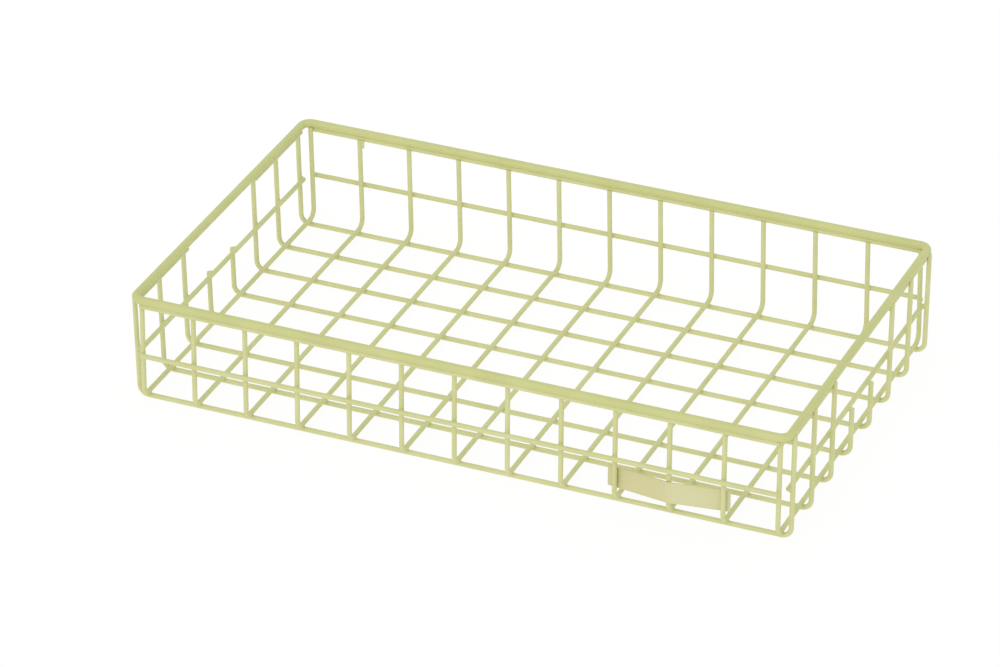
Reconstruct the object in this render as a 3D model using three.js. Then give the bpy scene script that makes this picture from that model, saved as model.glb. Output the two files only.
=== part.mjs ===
// Wire tray: a grid of welded wires folded up into a shallow box under a heavier rim rod,
// with a hand hold cut into each short wall and a blank label plate sprung between the front wires.
// Millimetres, +Z up. X runs along the tray, Y across it, and the front is at -Y.
// The origin is at the middle of the underside, on the surface that the tray stands on.
import * as THREE from 'three';

// Grid of wires
const crossWireCount = 13;      // wires that run across the tray, along Y
const longWireCount = 8;        // wires that run along the tray, along X
const crossWirePitch = 28;      // spacing of the cross wires along X
const longWirePitch = 27;       // spacing of the long wires along Y
const wireDiameter = 2.5;
const bendRadius = 5;           // centre line of the bend from the floor into a wall
const seatClearance = 0.04;     // between wires that are welded where they cross

// Walls and rim
const trayHeight = 60.4;
const rimDiameter = 4.3;
const rimCornerRadius = 5;      // centre line, seen from above
const sideWallLean = 0.95;      // degrees outward from upright
const frontWallLean = -1.65;    // the same for the front and back walls, which lean in
const rimStep = 1.85;           // rim and top rails, inside the short walls and outside the long walls
const midRailHeight = 27.3;     // centre line of the rails halfway up the walls
const railOverhang = 0.3;       // past the centre of the last wire

// Hand holds
const shortWireCount = 2;       // long wires cut off at the mid rail, in the middle of the grid
const shortWireTip = 0.6;       // how far a cut wire stands above the middle of the mid rail
const handHoldOverhang = 1.4;   // top side rails, past the centre of the wire beside the hand hold

// Label plate
const plateLength = 63.8;
const plateHeight = 11.2;
const plateThickness = 1;
const plateBendRadius = 8;      // centre line
const plateClearance = 0.2;     // between the plate and the three wires that it weaves through
const plateSeat = 1.2;          // from the top of the floor bends up to the plate's lower edge
const plateMiddleWire = 10;     // the cross wire that the plate bends over, counted from 0 at the left
const plateShift = -0.8;        // the plate's middle from that wire, to the right

// Facets of the round bars
const wireSides = 8;
const rimSides = 12;
const bendSteps = 4;
const cornerSteps = 6;
const plateSteps = 6;

const wireFlats = wireDiameter * Math.cos(Math.PI / wireSides);
const layer = wireFlats + seatClearance;
const longWireZ = wireFlats / 2;
const crossWireZ = longWireZ + layer;

const gridHalfX = (crossWireCount - 1) / 2 * crossWirePitch;
const gridHalfY = (longWireCount - 1) / 2 * longWirePitch;
const sideLean = THREE.MathUtils.degToRad(sideWallLean);
const frontLean = THREE.MathUtils.degToRad(frontWallLean);
const sideWallAt = (z) => wallDistance(gridHalfX, longWireZ, sideLean, z);
const frontWallAt = (z) => wallDistance(gridHalfY, crossWireZ, frontLean, z);

const rimFlats = rimDiameter * Math.cos(Math.PI / rimSides);
const rimZ = trayHeight - rimDiameter / 2;
const topRailZ = rimZ - (rimFlats + wireFlats) / 2 - seatClearance;
const rimX = sideWallAt(topRailZ) - rimStep;
const rimY = frontWallAt(topRailZ) + rimStep;
const wireTopZ = topRailZ - wireFlats / 2 - seatClearance;
const shortWireTopZ = midRailHeight + shortWireTip;

const alongX = new THREE.Vector3(1, 0, 0);
const alongY = new THREE.Vector3(0, 1, 0);
const up = new THREE.Vector3(0, 0, 1);

const coat = new THREE.MeshStandardMaterial({ color: 0xcfcf89, roughness: 0.55, metalness: 0 });
const plateCoat = new THREE.MeshStandardMaterial({ color: 0xdad4a0, roughness: 0.5, metalness: 0 });

const tray = new THREE.Group();
tray.name = 'wire_tray';

// How far out the centre line of a wall's wires is at a height. The bend starts where the floor ends.
function wallDistance(floorEnd, floorZ, lean, z) {
  return floorEnd + bendRadius / Math.cos(lean) + (z - floorZ - bendRadius) * Math.tan(lean);
}

function addPiece(name, geometry, material) {
  geometry.computeVertexNormals();
  const piece = new THREE.Mesh(geometry, material);
  piece.name = name;
  tray.add(piece);
}

// A round bar along stations that lie in one plane. Each station has a point and a direction,
// and the facets face along the plane's normal and square to it.
function barGeometry(stations, planeNormal, diameter, sides, closed = false) {
  const positions = [];
  for (const { point, direction } of stations) {
    const sideways = new THREE.Vector3().crossVectors(planeNormal, direction).normalize();
    for (let k = 0; k < sides; k += 1) {
      const angle = (k + 0.5) * 2 * Math.PI / sides;
      const corner = point.clone()
        .addScaledVector(sideways, Math.cos(angle) * diameter / 2)
        .addScaledVector(planeNormal, Math.sin(angle) * diameter / 2);
      positions.push(corner.x, corner.y, corner.z);
    }
  }

  const faces = [];
  const ringCount = stations.length;
  const spanCount = closed ? ringCount : ringCount - 1;
  for (let ring = 0; ring < spanCount; ring += 1) {
    const here = ring * sides;
    const next = (ring + 1) % ringCount * sides;
    for (let k = 0; k < sides; k += 1) {
      const k2 = (k + 1) % sides;
      faces.push(here + k, here + k2, next + k2);
      faces.push(here + k, next + k2, next + k);
    }
  }
  if (!closed) {
    const last = (ringCount - 1) * sides;
    for (let k = 1; k < sides - 1; k += 1) {
      faces.push(0, k + 1, k);
      faces.push(last, last + k, last + k + 1);
    }
  }

  const geometry = new THREE.BufferGeometry();
  geometry.setAttribute('position', new THREE.Float32BufferAttribute(positions, 3));
  geometry.setIndex(faces);
  return geometry;
}

// Stations round a bend in the plane of two square directions, from one angle to another.
function arcStations(centre, first, second, radius, fromAngle, toAngle, steps) {
  const stations = [];
  for (let step = 0; step <= steps; step += 1) {
    const angle = fromAngle + (toAngle - fromAngle) * step / steps;
    const point = centre.clone()
      .addScaledVector(first, Math.cos(angle) * radius)
      .addScaledVector(second, Math.sin(angle) * radius);
    const direction = new THREE.Vector3()
      .addScaledVector(first, -Math.sin(angle))
      .addScaledVector(second, Math.cos(angle));
    stations.push({ point, direction });
  }
  return stations;
}

// A wire of the grid: down one wall, across the floor and up the opposite wall.
function foldedWire(middle, floorAxis, floorEnd, lean, topZ) {
  const at = (out, z) => middle.clone().addScaledVector(floorAxis, out).setZ(z);
  const topOut = wallDistance(floorEnd, middle.z, lean, topZ);
  const bendZ = middle.z + bendRadius;
  const quarter = Math.PI / 2;
  const bend = (side, fromAngle, toAngle) => arcStations(
    at(side * floorEnd, bendZ), floorAxis, up, bendRadius, fromAngle, toAngle, bendSteps,
  );
  const upRight = up.clone().applyAxisAngle(new THREE.Vector3().crossVectors(up, floorAxis), lean);
  const downLeft = upRight.clone().setZ(-upRight.z);
  const stations = [
    { point: at(-topOut, topZ), direction: downLeft },
    ...bend(-1, 2 * quarter + lean, 3 * quarter),
    ...bend(1, 3 * quarter, 4 * quarter - lean),
    { point: at(topOut, topZ), direction: upRight },
  ];
  const planeNormal = new THREE.Vector3().crossVectors(floorAxis, up);
  return barGeometry(stations, planeNormal, wireDiameter, wireSides);
}

// A straight rail from one end point to the other.
function straightRail(start, end) {
  const direction = end.clone().sub(start).normalize();
  const stations = [start, end].map((point) => ({ point, direction }));
  return barGeometry(stations, up, wireDiameter, wireSides);
}

function twoDigits(number) {
  return String(number).padStart(2, '0');
}

// Long wires lie underneath and turn up into the two short walls. The middle ones stop at the mid
// rail there, which opens the hand holds.
const firstShortWire = (longWireCount - shortWireCount) / 2;
const lastShortWire = firstShortWire + shortWireCount - 1;
for (let j = 0; j < longWireCount; j += 1) {
  const isShort = j >= firstShortWire && j <= lastShortWire;
  const middle = new THREE.Vector3(0, j * longWirePitch - gridHalfY, longWireZ);
  const topZ = isShort ? shortWireTopZ : wireTopZ;
  const wire = foldedWire(middle, alongX, gridHalfX, sideLean, topZ);
  addPiece(`long_wire_${twoDigits(j + 1)}`, wire, coat);
}

// Cross wires lie on the long wires and turn up into the front and back walls.
for (let i = 0; i < crossWireCount; i += 1) {
  const middle = new THREE.Vector3(i * crossWirePitch - gridHalfX, 0, crossWireZ);
  const wire = foldedWire(middle, alongY, gridHalfY, frontLean, wireTopZ);
  addPiece(`cross_wire_${twoDigits(i + 1)}`, wire, coat);
}

// Rails of the front and back walls. The mid rail is welded outside the cross wires, and the top rail lies
// over the outer part of their ends.
const longRailEnd = gridHalfX + railOverhang;
for (const [wall, side] of [['front', -1], ['back', 1]]) {
  const midRailY = frontWallAt(midRailHeight) + layer;
  for (const [level, y, z] of [['mid', midRailY, midRailHeight], ['top', rimY, topRailZ]]) {
    const start = new THREE.Vector3(-longRailEnd, side * y, z);
    const end = new THREE.Vector3(longRailEnd, side * y, z);
    addPiece(`${wall}_${level}_rail`, straightRail(start, end), coat);
  }
}

// Rails of the short walls. The mid rail is welded inside the long wires. The top rails lie over the inner
// part of their ends and stop at the hand hold.
const shortRailEnd = gridHalfY + railOverhang;
const handHoldHalf = (shortWireCount + 1) / 2 * longWirePitch;
const handHoldEnd = handHoldHalf - handHoldOverhang;
for (const [wall, side] of [['left', -1], ['right', 1]]) {
  const midRailX = sideWallAt(midRailHeight) - layer;
  const midAt = (y) => new THREE.Vector3(side * midRailX, y, midRailHeight);
  const topAt = (y) => new THREE.Vector3(side * rimX, y, topRailZ);
  addPiece(`${wall}_mid_rail`, straightRail(midAt(-shortRailEnd), midAt(shortRailEnd)), coat);
  addPiece(`${wall}_top_rail_front`, straightRail(topAt(-shortRailEnd), topAt(-handHoldEnd)), coat);
  addPiece(`${wall}_top_rail_back`, straightRail(topAt(handHoldEnd), topAt(shortRailEnd)), coat);
}

// Rim rod: one closed loop with round corners, lying on the top rails.
function rimGeometry() {
  const stations = [];
  const corners = [[1, 1], [-1, 1], [-1, -1], [1, -1]];
  corners.forEach(([sideX, sideY], turn) => {
    const centre = new THREE.Vector3(
      sideX * (rimX - rimCornerRadius),
      sideY * (rimY - rimCornerRadius),
      rimZ,
    );
    const fromAngle = turn * Math.PI / 2;
    const toAngle = fromAngle + Math.PI / 2;
    stations.push(...arcStations(centre, alongX, alongY, rimCornerRadius, fromAngle, toAngle, cornerSteps));
  });
  return barGeometry(stations, up, rimDiameter, rimSides, true);
}
addPiece('rim_rod', rimGeometry(), coat);

// Label plate: a thin strip that passes behind two cross wires and is bent over the one between them.
// The bend is the one that lets it clear all three wires alike. It leans with them.
function plateGeometry() {
  const reach = (wireDiameter + plateThickness) / 2 + plateClearance;
  const room = plateBendRadius - reach;
  const bend = Math.asin((plateBendRadius + reach) / Math.hypot(crossWirePitch, room))
    - Math.atan2(room, crossWirePitch);
  const bendX = plateMiddleWire * crossWirePitch - gridHalfX;
  const half = plateLength / 2 - plateBendRadius * bend;
  const endPoint = (radius, side) => [
    bendX + side * (radius * Math.sin(bend) + (half + side * plateShift) * Math.cos(bend)),
    room - radius * Math.cos(bend) + (half + side * plateShift) * Math.sin(bend),
  ];

  const outerRadius = plateBendRadius + plateThickness / 2;
  const innerRadius = plateBendRadius - plateThickness / 2;
  const fromAngle = -Math.PI / 2 - bend;
  const toAngle = -Math.PI / 2 + bend;
  const outline = new THREE.Shape();
  outline.moveTo(...endPoint(outerRadius, -1));
  outline.absarc(bendX, room, outerRadius, fromAngle, toAngle, false);
  outline.lineTo(...endPoint(outerRadius, 1));
  outline.lineTo(...endPoint(innerRadius, 1));
  outline.absarc(bendX, room, innerRadius, toAngle, fromAngle, true);
  outline.lineTo(...endPoint(innerRadius, -1));
  const geometry = new THREE.ExtrudeGeometry(outline, {
    depth: plateHeight,
    bevelEnabled: false,
    curveSegments: plateSteps,
  });
  const plateBottom = crossWireZ + bendRadius + plateSeat;
  return geometry.rotateX(frontLean).translate(0, -frontWallAt(plateBottom), plateBottom);
}
addPiece('label_plate', plateGeometry(), plateCoat);

export default tray;
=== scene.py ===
import math

import bmesh
import bpy
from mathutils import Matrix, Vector


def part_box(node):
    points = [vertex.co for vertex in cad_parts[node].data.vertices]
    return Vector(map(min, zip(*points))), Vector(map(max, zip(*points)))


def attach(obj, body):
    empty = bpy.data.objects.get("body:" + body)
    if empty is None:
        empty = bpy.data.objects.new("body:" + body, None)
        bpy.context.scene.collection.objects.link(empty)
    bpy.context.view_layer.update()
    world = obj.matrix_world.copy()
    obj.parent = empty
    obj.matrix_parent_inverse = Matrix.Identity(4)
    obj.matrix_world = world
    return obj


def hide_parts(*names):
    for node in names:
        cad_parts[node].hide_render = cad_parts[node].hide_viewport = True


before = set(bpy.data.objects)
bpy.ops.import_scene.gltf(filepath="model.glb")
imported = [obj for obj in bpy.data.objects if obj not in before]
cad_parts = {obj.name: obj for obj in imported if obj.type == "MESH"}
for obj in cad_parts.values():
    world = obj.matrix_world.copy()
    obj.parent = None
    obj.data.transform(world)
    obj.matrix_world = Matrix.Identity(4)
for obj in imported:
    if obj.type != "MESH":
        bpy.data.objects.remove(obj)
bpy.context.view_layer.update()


# Long wires. Hard-drawn mild steel wire, cut to length and bent up at both ends, so that each one makes
# a strip of the floor and of the two short walls. They lie underneath, and the tray stands on them.
# The two in the middle are cut off at the mid rail, which opens the hand holds.
LONG_WIRES = [f"long_wire_{number:02d}" for number in range(1, 9)]
CUT_SHORT = ("long_wire_04", "long_wire_05")
WIRE_DIAMETER = 0.0025
WIRE_SIDES = 24
BEND_RADIUS = 0.005         # centre line
BEND_STEPS = 8
SIDE_LEAN = math.radians(0.95)          # outward from upright
COATED_EDGE = 0.0005        # the coating rounds the edge of a cut end
COATED_EDGE_STEPS = 3
SHARP_ANGLE = math.radians(40)          # edges sharper than this stay crisp
REACH_INTO_RIM = 0.0016     # how far a welded wire end reaches past the underside of the rim

ALONG, ACROSS, UP = Vector((1, 0, 0)), Vector((0, 1, 0)), Vector((0, 0, 1))


def draw_rod(name, start, stretches, diameter, bend_radius=BEND_RADIUS, sides=WIRE_SIDES):
    """One rod drawn through its bends. Each stretch is a direction and a straight length."""
    bpy.ops.object.select_all(action="DESELECT")
    bpy.ops.mesh.primitive_circle_add(
        vertices=sides, radius=diameter / 2, fill_type="NGON", location=start,
        rotation=stretches[0][0].to_track_quat("Z", "Y").to_euler())
    rod = bpy.context.object
    rod.name = rod.data.name = name
    bpy.ops.object.mode_set(mode="EDIT")
    bpy.ops.mesh.select_mode(type="FACE")
    bpy.ops.mesh.select_all(action="SELECT")
    tip, heading = Vector(start), stretches[0][0]
    for direction, length in stretches:
        if direction != heading:
            bend = heading.angle(direction)
            inward = (direction - heading * heading.dot(direction)).normalized()
            bpy.ops.mesh.spin(
                steps=BEND_STEPS, angle=-bend,
                center=tip + inward * bend_radius, axis=heading.cross(direction).normalized())
            tip += (heading + direction) * bend_radius * math.tan(bend / 2)
        bpy.ops.mesh.extrude_region_move(TRANSFORM_OT_translate={"value": direction * length})
        tip += direction * length
        heading = direction

    # round the edge of both cut ends, which are the only faces with as many corners as the rod has sides
    edit_mesh = bmesh.from_edit_mesh(rod.data)
    for face in edit_mesh.faces:
        face.select_set(len(face.verts) == sides)
    bmesh.update_edit_mesh(rod.data)
    bpy.ops.mesh.bevel(offset=COATED_EDGE, segments=COATED_EDGE_STEPS, affect="EDGES")
    bpy.ops.mesh.select_all(action="SELECT")
    bpy.ops.mesh.normals_make_consistent(inside=False)
    bpy.ops.object.mode_set(mode="OBJECT")
    bpy.ops.object.transform_apply(location=True, rotation=True, scale=True)
    bpy.ops.object.shade_smooth_by_angle(angle=SHARP_ANGLE)
    return rod


def copy_piece(piece, name, offset):
    """Another of the same piece, with a mesh of its own, set down at an offset from the first."""
    bpy.ops.object.select_all(action="DESELECT")
    piece.select_set(True)
    bpy.context.view_layer.objects.active = piece
    bpy.ops.object.duplicate(linked=False)
    twin = bpy.context.object
    twin.name = twin.data.name = name
    twin.location = offset
    bpy.ops.object.transform_apply(location=True, rotation=False, scale=False)
    return twin


def linear(hex_colour):
    """An sRGB hex colour as linear red, green, blue and alpha."""
    parts = [int(hex_colour[i:i + 2], 16) / 255 for i in (1, 3, 5)]
    return [c / 12.92 if c <= 0.04045 else ((c + 0.055) / 1.055) ** 2.4 for c in parts] + [1]


def add_node(tree, kind, values=None, links=None, **settings):
    """Adds a node, sets its settings and the values of its sockets, and links its inputs."""
    node = tree.nodes.new(kind)
    for setting, value in settings.items():
        setattr(node, setting, value)
    for socket, value in (values or {}).items():
        node.inputs[socket].default_value = value
    for socket, source in (links or {}).items():
        tree.links.new(source, node.inputs[socket])
    return node


def new_material(name):
    """An empty node material and its node tree."""
    material = bpy.data.materials.new(name)
    material.use_nodes = True
    material.node_tree.nodes.clear()
    return material, material.node_tree


# Polyester powder coat, sprayed on the welded tray and baked: a satin pale olive yellow. It flows out to a
# soft orange peel and runs thicker in patches, so the tone drifts a little and the highlights break up.
# The peel is really about 0.5 mm across, and is drawn at 0.9 mm so that it shows.
PATCH_SIZE = 0.018          # of the drift in tone
RIPPLE_SIZE = 0.006         # of the waves where the coat flowed
RIPPLE_HEIGHT = 0.0002
PEEL_SIZE = 0.0009
PEEL_HEIGHT = 0.00004


def powder_coat(name, deep, pale):
    """The coating, which drifts between a deep and a pale tone."""
    material, tree = new_material(name)
    place = add_node(tree, "ShaderNodeTexCoord")
    patches = add_node(
        tree, "ShaderNodeTexNoise", {"Scale": 1 / PATCH_SIZE, "Detail": 3, "Roughness": 0.55},
        {"Vector": place.outputs["Object"]})
    tone = add_node(tree, "ShaderNodeValToRGB", links={"Fac": patches.outputs["Fac"]})
    tone.color_ramp.elements[0].position, tone.color_ramp.elements[0].color = 0.3, linear(deep)
    tone.color_ramp.elements[1].position, tone.color_ramp.elements[1].color = 0.7, linear(pale)
    peel = add_node(
        tree, "ShaderNodeTexNoise", {"Scale": 1 / PEEL_SIZE, "Detail": 2, "Roughness": 0.5},
        {"Vector": place.outputs["Object"]})
    ripples = add_node(
        tree, "ShaderNodeTexNoise", {"Scale": 1 / RIPPLE_SIZE, "Detail": 2, "Roughness": 0.5},
        {"Vector": place.outputs["Object"]})
    satin = add_node(
        tree, "ShaderNodeMapRange", {"From Min": 0.3, "From Max": 0.7, "To Min": 0.42, "To Max": 0.54},
        {"Value": ripples.outputs["Fac"]})
    ripple_bump = add_node(
        tree, "ShaderNodeBump", {"Strength": 0.5, "Distance": RIPPLE_HEIGHT},
        {"Height": ripples.outputs["Fac"]})
    peel_bump = add_node(
        tree, "ShaderNodeBump", {"Strength": 0.35, "Distance": PEEL_HEIGHT},
        {"Height": peel.outputs["Fac"], "Normal": ripple_bump.outputs["Normal"]})
    coat_shader = add_node(
        tree, "ShaderNodeBsdfPrincipled", {"IOR": 1.5, "Metallic": 0},
        {"Base Color": tone.outputs["Color"], "Roughness": satin.outputs["Result"],
         "Normal": peel_bump.outputs["Normal"]})
    add_node(tree, "ShaderNodeOutputMaterial", links={"Surface": coat_shader.outputs["BSDF"]})
    return material


wire_coat = powder_coat("satin_olive_powder_coat", "#cbcb8f", "#d3d39a")


def coat(piece, node=None, finish=wire_coat):
    """Powder coats a piece of the tray, which stands in place of a CAD node if there is one."""
    piece.data.materials.clear()
    piece.data.materials.append(finish)
    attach(piece, "tray")
    if node:
        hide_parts(node)


def middle_of(node):
    """The middle of a CAD node's box."""
    low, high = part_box(node)
    return (low + high) / 2


def wall_at(z, floor_end, floor_z, lean):
    """How far out the centre line of a wall's wires is at a height."""
    return floor_end + BEND_RADIUS / math.cos(lean) + (z - floor_z - BEND_RADIUS) * math.tan(lean)


def folded_wire(name, floor_end, floor_z, lean, top, axis, sideways):
    """A wire that goes down one wall, along the floor and up the opposite wall."""
    top_out = wall_at(top, floor_end, floor_z, lean)
    leg = (top - floor_z - BEND_RADIUS) / math.cos(lean) + BEND_RADIUS * math.tan(lean)
    down = axis * math.sin(lean) - UP * math.cos(lean)
    up_again = axis * math.sin(lean) + UP * math.cos(lean)
    start = sideways - axis * top_out + UP * top
    return draw_rod(name, start, [(down, leg), (axis, 2 * floor_end), (up_again, leg)], WIRE_DIAMETER)


def lay_wires(tops, floor_end, floor_z, lean, axis, across):
    """Bends one wire for each height of the ends, and lays copies of it in the places of the others."""
    patterns = {}
    for node, top in tops.items():
        sideways = across * middle_of(node).dot(across)
        if top not in patterns:
            wire = folded_wire("coated_" + node, floor_end, floor_z, lean, top, axis, sideways)
            patterns[top] = wire, sideways
        else:
            first, first_sideways = patterns[top]
            wire = copy_piece(first, "coated_" + node, sideways - first_sideways)
        coat(wire, node)


wire_low, wire_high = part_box(LONG_WIRES[0])
wire_flats = wire_high.y - wire_low.y
long_wire_z = wire_low.z + wire_flats / 2
long_floor_end = middle_of("cross_wire_13").x
short_wire_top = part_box(CUT_SHORT[0])[1].z
welded_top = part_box("rim_rod")[0].z + REACH_INTO_RIM
lay_wires(
    {node: short_wire_top if node in CUT_SHORT else welded_top for node in LONG_WIRES},
    long_floor_end, long_wire_z, SIDE_LEAN, ALONG, ACROSS)


# Cross wires. The same wire, laid on the long wires and spot welded at every crossing, then bent up with
# the grid into the front and back walls. Their ends are welded in behind the top rails, and those of the
# first and last ones go on up to the rim.
CROSS_WIRES = [f"cross_wire_{number:02d}" for number in range(1, 14)]
CORNER_WIRES = (CROSS_WIRES[0], CROSS_WIRES[-1])
CORNER_REACH = 0.0006       # how far these reach past the underside of the rim
FRONT_LEAN = math.radians(-1.65)        # outward from upright, so the front and back walls lean in
cross_wire_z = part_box(CROSS_WIRES[0])[0].z + wire_flats / 2
cross_floor_end = middle_of("long_wire_08").y
cross_wire_top = middle_of("back_top_rail").z
corner_wire_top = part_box("rim_rod")[0].z + CORNER_REACH
lay_wires(
    {node: corner_wire_top if node in CORNER_WIRES else cross_wire_top for node in CROSS_WIRES},
    cross_floor_end, cross_wire_z, FRONT_LEAN, ACROSS, ALONG)


# Welds of the floor. Where two wires cross they are pressed together and spot welded, and the powder coat
# draws into the four corners between them as a small fillet.
WELD_RADIUS = 0.0015
WELD_SIDES = 12
WELD_PROFILE = (            # height, share of radius
    (-0.0009, 0.5), (-0.0005, 0.83), (0, 1), (0.0005, 0.83), (0.0009, 0.5))


def draw_weld(name):
    """One weld, a round lens at the origin, between wires that run along X and Y."""
    (bottom, share), *levels = WELD_PROFILE
    bpy.ops.object.select_all(action="DESELECT")
    bpy.ops.mesh.primitive_circle_add(
        vertices=WELD_SIDES, radius=WELD_RADIUS * share, fill_type="NGON", location=(0, 0, bottom))
    weld = bpy.context.object
    weld.name = weld.data.name = name
    bpy.ops.object.transform_apply(location=True, rotation=True, scale=True)
    bpy.ops.object.mode_set(mode="EDIT")
    bpy.ops.mesh.select_mode(type="FACE")
    bpy.ops.mesh.select_all(action="SELECT")
    height = bottom
    for next_height, next_share in levels:
        bpy.ops.mesh.extrude_region_move(
            TRANSFORM_OT_translate={"value": (0, 0, next_height - height)})
        grow = next_share / share
        bpy.ops.transform.resize(value=(grow, grow, 1), center_override=(0, 0, next_height))
        height, share = next_height, next_share
    bpy.ops.mesh.select_all(action="SELECT")
    bpy.ops.mesh.normals_make_consistent(inside=False)
    bpy.ops.object.mode_set(mode="OBJECT")
    bpy.ops.object.shade_smooth()
    return weld


def set_out_welds(weld, place, rows, turn=(0, 0, 0)):
    """Turns a weld, sets it on the first crossing and repeats it along rows of a count and a spacing."""
    bpy.ops.object.select_all(action="DESELECT")
    weld.select_set(True)
    bpy.context.view_layer.objects.active = weld
    weld.rotation_euler = turn
    weld.location = place
    bpy.ops.object.transform_apply(location=True, rotation=True, scale=True)
    for count, spacing in rows:
        bpy.ops.object.modifier_add(type="ARRAY")
        row = weld.modifiers[-1]
        row.count = count
        row.use_relative_offset = False
        row.use_constant_offset = True
        row.constant_offset_displace = spacing
        bpy.ops.object.modifier_apply(modifier=row.name)
    coat(weld)


cross_x = [middle_of(node).x for node in CROSS_WIRES]
long_y = [middle_of(node).y for node in LONG_WIRES]
cross_pitch = ALONG * (cross_x[1] - cross_x[0])
long_pitch = ACROSS * (long_y[1] - long_y[0])
set_out_welds(
    draw_weld("floor_welds"), (cross_x[0], long_y[0], (long_wire_z + cross_wire_z) / 2),
    [(len(cross_x), cross_pitch), (len(long_y), long_pitch)])


# Rails of the long walls. Straight lengths of the same wire, spot welded across the outside of the cross
# wires: one halfway up each wall, and one at the top, right under the rim.
for wall in ("front", "back"):
    for level in ("mid", "top"):
        node = f"{wall}_{level}_rail"
        low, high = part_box(node)
        start = Vector((low.x, (low.y + high.y) / 2, (low.z + high.z) / 2))
        coat(draw_rod("coated_" + node, start, [(ALONG, high.x - low.x)], WIRE_DIAMETER), node)
        if level == "mid":
            leg_y = math.copysign(wall_at(start.z, cross_floor_end, cross_wire_z, FRONT_LEAN), start.y)
            set_out_welds(
                draw_weld(f"{wall}_mid_welds"), (cross_x[0], (start.y + leg_y) / 2, start.z),
                [(len(cross_x), cross_pitch)], turn=(math.pi / 2, 0, 0))


# Rails of the short walls, welded across the inside of the long wires. The mid rail runs right across;
# the top one is cut out at the hand hold, and is left as two short lengths.
for wall in ("left", "right"):
    for level in ("mid_rail", "top_rail_front", "top_rail_back"):
        node = f"{wall}_{level}"
        low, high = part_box(node)
        start = Vector(((low.x + high.x) / 2, low.y, (low.z + high.z) / 2))
        coat(draw_rod("coated_" + node, start, [(ACROSS, high.y - low.y)], WIRE_DIAMETER), node)
        if level == "mid_rail":
            leg_x = math.copysign(wall_at(start.z, long_floor_end, long_wire_z, SIDE_LEAN), start.x)
            set_out_welds(
                draw_weld(f"{wall}_mid_welds"), ((start.x + leg_x) / 2, long_y[0], start.z),
                [(len(long_y), long_pitch)], turn=(0, math.pi / 2, 0))


# Rim rod. A heavier steel rod bent round into one loop, butt welded, and welded on top of the top rails, so
# that it stiffens the tray and makes the grip at the hand holds.
RIM_DIAMETER = 0.0043
RIM_CORNER_RADIUS = 0.005   # centre line
RIM_SIDES = 32
JOIN_WITHIN = 0.00001       # the two ends of the loop are butted to within this
rim_z = middle_of("rim_rod").z
rim_x = middle_of("right_top_rail_front").x
rim_y = middle_of("back_top_rail").y
straight_x = 2 * (rim_x - RIM_CORNER_RADIUS)
straight_y = 2 * (rim_y - RIM_CORNER_RADIUS)
bpy.ops.object.select_all(action="DESELECT")
bpy.ops.mesh.primitive_circle_add(
    vertices=RIM_SIDES, radius=RIM_DIAMETER / 2, fill_type="NOTHING",
    location=(0, rim_y, rim_z), rotation=(0, math.pi / 2, 0))
rim = bpy.context.object
rim.name = rim.data.name = "coated_rim_rod"
bpy.ops.object.mode_set(mode="EDIT")
bpy.ops.mesh.select_mode(type="EDGE")
bpy.ops.mesh.select_all(action="SELECT")
tip = Vector((0, rim_y, rim_z))
loop = [(ALONG, straight_x / 2), (-ACROSS, straight_y), (-ALONG, straight_x), (ACROSS, straight_y),
        (ALONG, straight_x / 2)]
heading = ALONG
for direction, length in loop:
    if direction != heading:
        bpy.ops.mesh.spin(
            steps=2 * BEND_STEPS, angle=-math.pi / 2,
            center=tip + direction * RIM_CORNER_RADIUS, axis=heading.cross(direction))
        tip += (heading + direction) * RIM_CORNER_RADIUS
    bpy.ops.mesh.extrude_region_move(TRANSFORM_OT_translate={"value": direction * length})
    tip += direction * length
    heading = direction
bpy.ops.mesh.select_all(action="SELECT")
bpy.ops.mesh.remove_doubles(threshold=JOIN_WITHIN)
bpy.ops.mesh.normals_make_consistent(inside=False)
bpy.ops.object.mode_set(mode="OBJECT")
bpy.ops.object.transform_apply(location=True, rotation=True, scale=True)
bpy.ops.object.shade_smooth()

# The same coat on the heavier rod, painted a shade deeper: painted shade, which stands in for the darker
# look that the light gives the rim.
rim_coat_painted_shade = powder_coat("satin_olive_powder_coat_painted_shade_on_rod", "#c3c582", "#cbcc8b")
coat(rim, "rim_rod", rim_coat_painted_shade)


# Seams under the rim. The rim rod is welded along the rails below it, and the powder coat runs into the
# groove between the two, so that the welds and the coating fill it.
SEAM_DIAMETER = 0.0018
SEAM_SIDES = 12
for node in ("front_top_rail", "back_top_rail", "left_top_rail_front", "left_top_rail_back",
             "right_top_rail_front", "right_top_rail_back"):
    low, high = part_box(node)
    along = ALONG if high.x - low.x > high.y - low.y else ACROSS
    seam_length = (high - low).dot(along) - WIRE_DIAMETER
    middle = middle_of(node)
    middle.z = (rim_z - RIM_DIAMETER / 2 + middle.z + WIRE_DIAMETER / 2) / 2
    start = middle - along * seam_length / 2
    seam = draw_rod(
        node.replace("rail", "seam"), start, [(along, seam_length)], SEAM_DIAMETER, sides=SEAM_SIDES)
    coat(seam)


# A run of weld. At the second wire of the back wall the molten steel of the weld has run down beside the
# wire and set there, and the powder coat lies over it.
RUN_DIAMETER = 0.0018
RUN_LENGTH = 0.0044
RUN_OVERLAP = 0.0005        # how deep it has melted into the wire
run_offset = (WIRE_DIAMETER + RUN_DIAMETER) / 2 - RUN_OVERLAP
run_y = wall_at(cross_wire_top, cross_floor_end, cross_wire_z, FRONT_LEAN)
run_start = Vector((cross_x[1] + run_offset, run_y, cross_wire_top))
coat(draw_rod("weld_run", run_start, [(-UP, RUN_LENGTH)], RUN_DIAMETER, sides=SEAM_SIDES))


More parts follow.
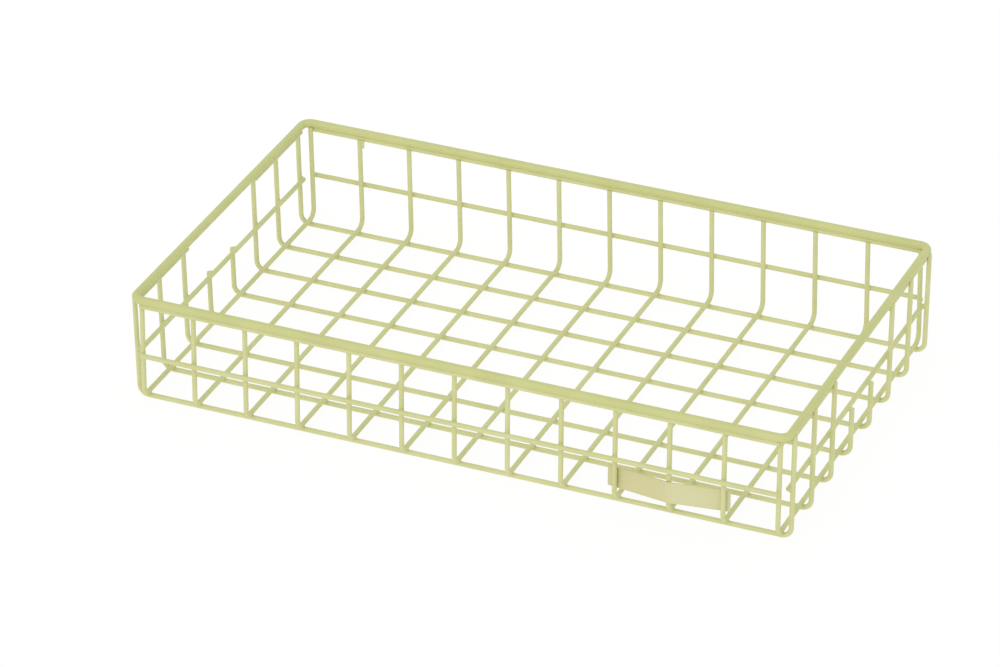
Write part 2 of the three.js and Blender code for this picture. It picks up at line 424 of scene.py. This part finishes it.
# Label plate. A blank strip of thin spring steel, bent over the middle one of three front wires and sprung
# in behind the two beside it. It is stove enamelled a little paler than the wire.
PLATE_THICKNESS = 0.001
PLATE_LENGTH = 0.0638
PLATE_SHIFT = -0.0008       # its middle from the wire that it is bent over, to the right
PLATE_BEND_RADIUS = 0.008   # centre line
PLATE_CLEARANCE = 0.0002    # from the three wires that it weaves through
PLATE_CORNER = 0.0005
PLATE_CORNER_STEPS = 4
PLATE_EDGE = 0.0002
PLATE_EDGE_STEPS = 2
LEVEL = 1e-6                # two points this close in height are level
plate_low, plate_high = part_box("label_plate")
plate_height = (plate_high.z - plate_low.z) / math.cos(FRONT_LEAN)
reach = (WIRE_DIAMETER + PLATE_THICKNESS) / 2 + PLATE_CLEARANCE
room = PLATE_BEND_RADIUS - reach
wire_pitch = cross_pitch.length
bend = math.asin((PLATE_BEND_RADIUS + reach) / math.hypot(wire_pitch, room)) - math.atan2(room, wire_pitch)
half = PLATE_LENGTH / 2 - PLATE_BEND_RADIUS * bend
left_half, right_half = half - PLATE_SHIFT, half + PLATE_SHIFT

wire_y = -wall_at(plate_low.z, cross_floor_end, cross_wire_z, FRONT_LEAN)
wire_foot = Vector((middle_of("cross_wire_11").x, wire_y, plate_low.z))
bend_centre = wire_foot + ACROSS * room + UP * plate_height / 2
outward_along = ALONG * math.cos(bend) - ACROSS * math.sin(bend)
inward_along = ALONG * math.cos(bend) + ACROSS * math.sin(bend)
bend_start = bend_centre - (ALONG * math.sin(bend) + ACROSS * math.cos(bend)) * PLATE_BEND_RADIUS
left_end = bend_start - outward_along * left_half
bpy.ops.object.select_all(action="DESELECT")
bpy.ops.mesh.primitive_plane_add(size=1, location=left_end, rotation=(math.pi / 2, 0, math.pi / 2 - bend))
plate = bpy.context.object
plate.name = plate.data.name = "enamelled_label_plate"
plate.scale = (PLATE_THICKNESS, plate_height, 1)
bpy.ops.object.transform_apply(location=True, rotation=True, scale=True)
bpy.ops.object.mode_set(mode="EDIT")
bpy.ops.mesh.select_mode(type="FACE")
bpy.ops.mesh.select_all(action="SELECT")
bpy.ops.mesh.extrude_region_move(TRANSFORM_OT_translate={"value": outward_along * left_half})
bpy.ops.mesh.spin(steps=BEND_STEPS, angle=-2 * bend, center=bend_centre, axis=UP)
bpy.ops.mesh.extrude_region_move(TRANSFORM_OT_translate={"value": inward_along * right_half})
bpy.ops.mesh.select_all(action="SELECT")
bpy.ops.mesh.normals_make_consistent(inside=False)
bpy.ops.mesh.select_mode(type="EDGE")
bpy.ops.mesh.select_all(action="DESELECT")
for edge in bmesh.from_edit_mesh(plate.data).edges:
    one, two = (vert.co for vert in edge.verts)
    at_an_end = abs((one + two).x / 2 - wire_foot.x) > PLATE_LENGTH / 4
    through = abs(one.z - two.z) < LEVEL and (one - two).length < 2 * PLATE_THICKNESS
    edge.select_set(at_an_end and through)
bmesh.update_edit_mesh(plate.data)
bpy.ops.mesh.bevel(offset=PLATE_CORNER, segments=PLATE_CORNER_STEPS, affect="EDGES")
bpy.ops.mesh.select_all(action="SELECT")
bpy.ops.transform.rotate(value=-FRONT_LEAN, orient_axis="X", center_override=wire_foot)
bpy.ops.object.mode_set(mode="OBJECT")
bpy.ops.object.modifier_add(type="BEVEL")
edge_round = plate.modifiers[-1]
edge_round.width = PLATE_EDGE
edge_round.segments = PLATE_EDGE_STEPS
edge_round.limit_method = "ANGLE"
edge_round.angle_limit = SHARP_ANGLE
bpy.ops.object.modifier_apply(modifier=edge_round.name)
bpy.ops.object.shade_smooth_by_angle(angle=SHARP_ANGLE)

# Stove enamel on sheet steel: smoother and glossier than the powder coat, a warm pale cream yellow. The
# half to the left of the bend is painted darker, as painted shade, for the two halves face different ways
# to the light; the tone drifts a little within each half.
PAINTED_SHADE_BLEND = 0.006           # how far the change of tone takes at the bend
CLOUD_SIZE = 0.02           # of the drift within each half
FLOW_SIZE = 0.002           # of the waves where the enamel flowed
FLOW_HEIGHT = 0.00003
enamel, tree = new_material("cream_stove_enamel")
place = add_node(tree, "ShaderNodeTexCoord")
clouds = add_node(
    tree, "ShaderNodeTexNoise", {"Scale": 1 / CLOUD_SIZE, "Detail": 2, "Roughness": 0.5},
    {"Vector": place.outputs["Object"]})
along_plate = add_node(tree, "ShaderNodeSeparateXYZ", links={"Vector": place.outputs["Object"]})
# painted shade: the half to the left of the bend takes the deeper tone of the ramp
painted_shade_by_half = add_node(
    tree, "ShaderNodeMapRange",
    {"From Min": wire_foot.x - PAINTED_SHADE_BLEND / 2, "From Max": wire_foot.x + PAINTED_SHADE_BLEND / 2, "To Max": 0.6},
    {"Value": along_plate.outputs["X"]})
drift = add_node(
    tree, "ShaderNodeMath", {1: 0.4}, {0: clouds.outputs["Fac"], 2: painted_shade_by_half.outputs["Result"]},
    operation="MULTIPLY_ADD")
cream = add_node(tree, "ShaderNodeValToRGB", links={"Fac": drift.outputs["Value"]})
cream.color_ramp.elements[0].position, cream.color_ramp.elements[0].color = 0.2, linear("#cec894")
cream.color_ramp.elements[1].position, cream.color_ramp.elements[1].color = 0.8, linear("#d3cf9f")
flow = add_node(
    tree, "ShaderNodeTexNoise", {"Scale": 1 / FLOW_SIZE, "Detail": 2, "Roughness": 0.5},
    {"Vector": place.outputs["Object"]})
flow_bump = add_node(
    tree, "ShaderNodeBump", {"Strength": 0.2, "Distance": FLOW_HEIGHT}, {"Height": flow.outputs["Fac"]})
gloss = add_node(
    tree, "ShaderNodeMapRange", {"From Min": 0.3, "From Max": 0.7, "To Min": 0.38, "To Max": 0.46},
    {"Value": clouds.outputs["Fac"]})
enamel_shader = add_node(
    tree, "ShaderNodeBsdfPrincipled", {"IOR": 1.5, "Metallic": 0},
    {"Base Color": cream.outputs["Color"], "Roughness": gloss.outputs["Result"],
     "Normal": flow_bump.outputs["Normal"]})
add_node(tree, "ShaderNodeOutputMaterial", links={"Surface": enamel_shader.outputs["BSDF"]})
plate.data.materials.clear()
plate.data.materials.append(enamel)
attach(plate, "label")
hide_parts("label_plate")


# Floor. A light table of white glass: it glows just under white, and a share of the light that falls on it
# brings it to white, so the tray keeps a faint shadow.
FLOOR_SIZE = 8
TABLE_GLOW = 0.89           # where 1 is white
SHADOW_SHARE = 0.12         # of the light that falls on the table
bpy.ops.object.select_all(action="DESELECT")
bpy.ops.mesh.primitive_plane_add(
    size=FLOOR_SIZE, location=(0, 0, long_wire_z - WIRE_DIAMETER / 2))
floor = bpy.context.object
floor.name = "light_table"
bpy.ops.object.transform_apply(location=True, rotation=True, scale=True)
table_glass, tree = new_material("white_table_glass")
glow = add_node(tree, "ShaderNodeEmission", {"Color": (1, 1, 1, 1), "Strength": TABLE_GLOW})
lit = add_node(tree, "ShaderNodeBsdfDiffuse", {"Color": [SHADOW_SHARE] * 3 + [1]})
glass = add_node(tree, "ShaderNodeAddShader", links={0: glow.outputs["Emission"], 1: lit.outputs["BSDF"]})
add_node(tree, "ShaderNodeOutputMaterial", links={"Surface": glass.outputs["Shader"]})
floor.data.materials.append(table_glass)


# Light. A white studio tent gives an even light from all round, and one broad soft light stands in front.
# Looked at directly, or in a reflection, the tent is plain white.
TENT_STRENGTH = 0.87
TENT_COLOUR = "#fafff9"
KEY_STRENGTH = 0.56
KEY_COLOUR = "#fff2ff"
KEY_FROM = (-5, 38)         # degrees round to the right of the front, and up
KEY_SPREAD = 50             # degrees
KEY_DISTANCE = 2
world = bpy.data.worlds.new("studio_tent")
bpy.context.scene.world = world
world.use_nodes = True
world.node_tree.nodes.clear()
tree = world.node_tree
tent = add_node(tree, "ShaderNodeBackground", {"Color": linear(TENT_COLOUR), "Strength": TENT_STRENGTH})
backdrop = add_node(tree, "ShaderNodeBackground", {"Color": (1, 1, 1, 1), "Strength": 1})
path = add_node(tree, "ShaderNodeLightPath")
camera_or_gloss = add_node(
    tree, "ShaderNodeMath", links={0: path.outputs["Is Camera Ray"], 1: path.outputs["Is Glossy Ray"]},
    operation="MAXIMUM")
seen_direct = add_node(
    tree, "ShaderNodeMath",
    links={0: camera_or_gloss.outputs["Value"], 1: path.outputs["Is Transmission Ray"]},
    operation="MAXIMUM")
world_mix = add_node(
    tree, "ShaderNodeMixShader",
    links={"Fac": seen_direct.outputs["Value"], 1: tent.outputs["Background"],
           2: backdrop.outputs["Background"]})
add_node(tree, "ShaderNodeOutputWorld", links={"Surface": world_mix.outputs["Shader"]})

turn, rise = (math.radians(angle) for angle in KEY_FROM)
towards_key = Vector((math.sin(turn) * math.cos(rise), -math.cos(turn) * math.cos(rise), math.sin(rise)))
bpy.ops.object.light_add(type="SUN", location=towards_key * KEY_DISTANCE)
key = bpy.context.object
key.name = key.data.name = "front_light"
key.data.energy = KEY_STRENGTH
key.data.color = linear(KEY_COLOUR)[:3]
key.data.angle = math.radians(KEY_SPREAD)
key.rotation_euler = (-towards_key).to_track_quat("-Z", "Y").to_euler()


# Camera. A long lens from the front right, nearly three metres away, looking down at the tray at about
# thirty degrees.
CAMERA_PLACE = (0.94062, -2.20235, 1.42144)
CAMERA_TURN = (59.7254, 0.3456, 23.3347)        # degrees
CAMERA_LENS = 200.28        # millimetres
SENSOR_WIDTH = 36           # millimetres
FAR_CLIP = 100
bpy.ops.object.camera_add(
    location=CAMERA_PLACE, rotation=[math.radians(angle) for angle in CAMERA_TURN])
camera = bpy.context.object
camera.name = "camera"
camera.data.lens = CAMERA_LENS
camera.data.sensor_width = SENSOR_WIDTH
camera.data.clip_end = FAR_CLIP
bpy.context.scene.camera = camera
bpy.context.scene.view_settings.view_transform = "Standard"
